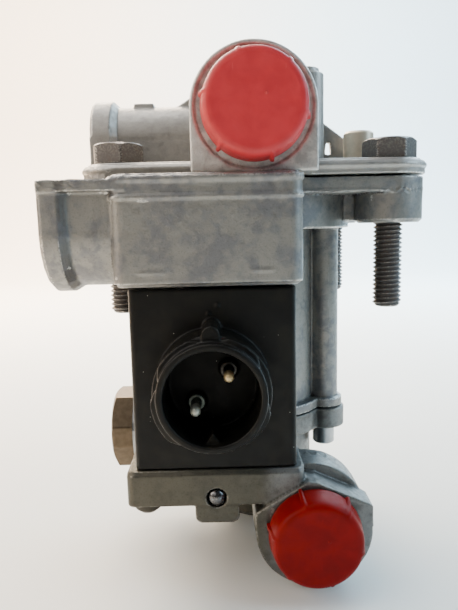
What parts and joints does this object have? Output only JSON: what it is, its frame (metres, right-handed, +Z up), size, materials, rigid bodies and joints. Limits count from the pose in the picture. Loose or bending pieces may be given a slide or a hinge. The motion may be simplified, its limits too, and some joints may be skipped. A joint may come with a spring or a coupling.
{
  "type": "solenoid valve",
  "caption": "Air-brake relay valve with a pilot solenoid block, capped and open push-in ports and a bolted bracket flange.",
  "frame": {"origin": "midway between the two side bolts, level with the undersides of their ears, where the valve seats on its bracket", "axes": "+Z up along the bolts and the piston axis, -Y towards the capped ports and the connector, +X towards the right-hand ear"},
  "size_m": [0.0999, 0.094, 0.1349],
  "materials": {
    "cast_light": "satin as-cast, slightly stained",
    "cast_dark": "satin as-cast, oily",
    "steel": "machined",
    "black_steel": "black oxide, worn on the edges",
    "plated_steel": "yellow-brown plated, satin",
    "brass": "machined",
    "copper": "copper, dull",
    "black_plastic": "moulded, dusty",
    "pale_plastic": "moulded",
    "rubber_black": "matt",
    "red_plastic": "soft moulded, semi-gloss"
  },
  "bodies": {
    "valve_body": {"upper_housing": "cast_light", "middle_housing": "cast_light", "lower_housing": "cast_dark", "cover_gasket": "rubber_black", "joint_oring": "rubber_black", "valve_spring": "steel", "valve_guide": "brass", "guide_oring": "rubber_black", "snap_ring": "steel", "solenoid_block": "black_plastic", "pin_left": "brass", "pin_right": "brass", "coil_bobbin": "pale_plastic", "coil_winding": "copper", "pole_core": "steel", "armature_tube": "steel", "armature_spring": "steel", "solenoid_oring": "rubber_black", "bolt_left": "black_steel", "bolt_right": "black_steel", "bolt_rear": "black_steel", "body_screw_1": "steel", "body_screw_2": "steel", "body_screw_3": "steel", "shelf_screw": "black_steel", "hex_plug": "plated_steel", "plug_washer": "steel", "locating_dowel": "plated_steel", "sealing_ball": "steel"},
    "piston": {"relay_piston": "steel", "piston_oring": "rubber_black"},
    "inlet": {"inlet_valve": "brass", "valve_seal": "rubber_black"},
    "plunger": {"armature": "steel", "armature_seal": "rubber_black"},
    "upper_cap": {"cap_upper": "red_plastic"},
    "lower_cap": {"cap_lower": "red_plastic"}
  },
  "joints": [
    {"name": "piston_travel", "type": "slide", "parent": "valve_body", "child": "piston", "axis": [0, 0, -1], "range_m": [0, 0.0035], "stiffness_N_per_m": 900},
    {"name": "inlet_travel", "type": "slide", "parent": "valve_body", "child": "inlet", "axis": [0, 0, -1], "range_m": [0, 0.002], "deforming": ["valve_spring"]},
    {"name": "armature_stroke", "type": "slide", "parent": "valve_body", "child": "plunger", "axis": [0, 0, -1], "range_m": [0, 0.0012], "stiffness_N_per_m": 500, "deforming": ["armature_spring"]},
    {"name": "cap_upper_pull", "type": "slide", "parent": "valve_body", "child": "upper_cap", "axis": [0, -1, 0], "range_m": [0, 0.02]},
    {"name": "cap_lower_pull", "type": "slide", "parent": "valve_body", "child": "lower_cap", "axis": [0, -1, 0], "range_m": [0, 0.02]}
  ],
  "couplings": [
    {"joint": "inlet_travel", "follows": "piston_travel", "ratio": 0.57}
  ]
}
